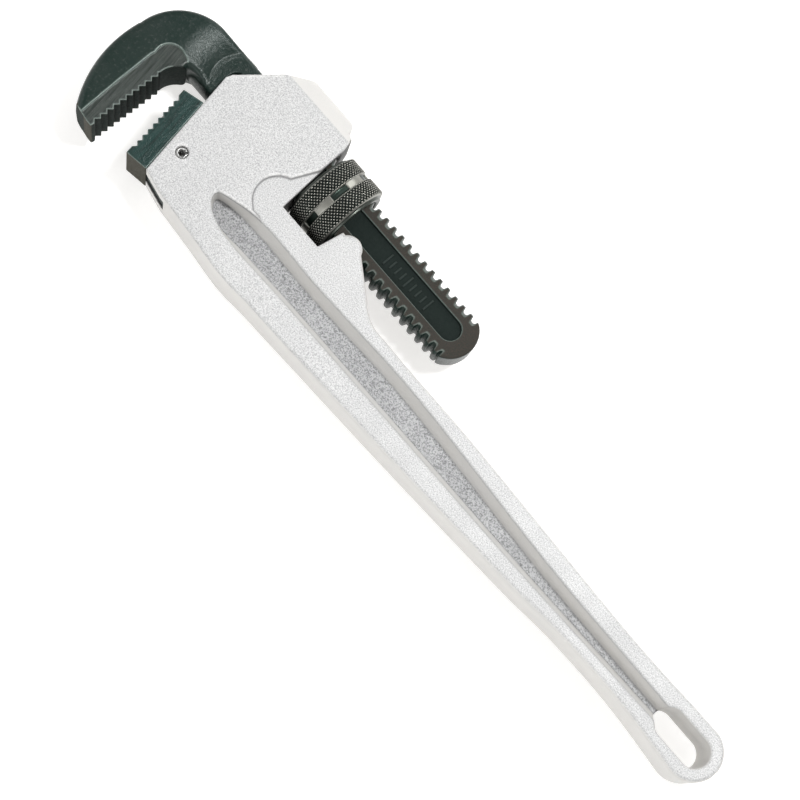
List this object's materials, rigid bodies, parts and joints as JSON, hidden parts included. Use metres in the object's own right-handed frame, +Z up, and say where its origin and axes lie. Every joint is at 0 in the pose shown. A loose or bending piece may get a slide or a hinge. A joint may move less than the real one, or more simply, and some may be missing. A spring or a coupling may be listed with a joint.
{
  "type": "pipe wrench",
  "caption": "Straight pipe wrench with a cast light-alloy handle, a threaded hook jaw moved by a knurled nut, and a pinned heel jaw.",
  "frame": {"origin": "on the housing's lower flat face, under the axis of the hook jaw's shank and the adjusting nut", "axes": "+X along the shank's axis towards the hook jaw's head, +Y towards the side on which the mouth opens, +Z up through the thickness"},
  "size_m": [0.4189, 0.0955, 0.0388],
  "materials": {
    "cast_alloy": "cast alloy with a fine sand texture, silver grey",
    "forged_steel": "dark forged steel with ground faces",
    "nut_steel": "turned and knurled steel",
    "pin_steel": "bright drawn steel",
    "spring_steel": "blued spring steel"
  },
  "bodies": {
    "handle": {"handle": "cast_alloy", "heel_jaw": "forged_steel", "heel_jaw_pin": "pin_steel", "coil_spring": "spring_steel"},
    "spring_plate": {"leaf_spring": "spring_steel", "spring_rivet": "pin_steel"},
    "hook": {"hook_jaw": "forged_steel"},
    "nut": {"adjusting_nut": "nut_steel"}
  },
  "joints": [
    {"name": "hook_rock", "type": "hinge", "parent": "handle", "child": "spring_plate", "pos_m": [-0.041, 0.012, 0.013], "axis": [0, 0, 1], "range_deg": [0, 2], "stiffness_Nm_per_rad": 3.4, "springref_deg": -20.05, "deforming": ["coil_spring"]},
    {"name": "hook_slide", "type": "slide", "parent": "spring_plate", "child": "hook", "axis": [1, 0, 0], "range_m": [-0.0045, 0.058]},
    {"name": "nut_spin", "type": "hinge", "parent": "spring_plate", "child": "nut", "pos_m": [-0.0411, 0, 0.013], "axis": [1, 0, 0], "range_deg": [-4020, 315]}
  ],
  "couplings": [
    {"joint": "nut_spin", "follows": "hook_slide", "rad_per_m": -1208.3}
  ]
}
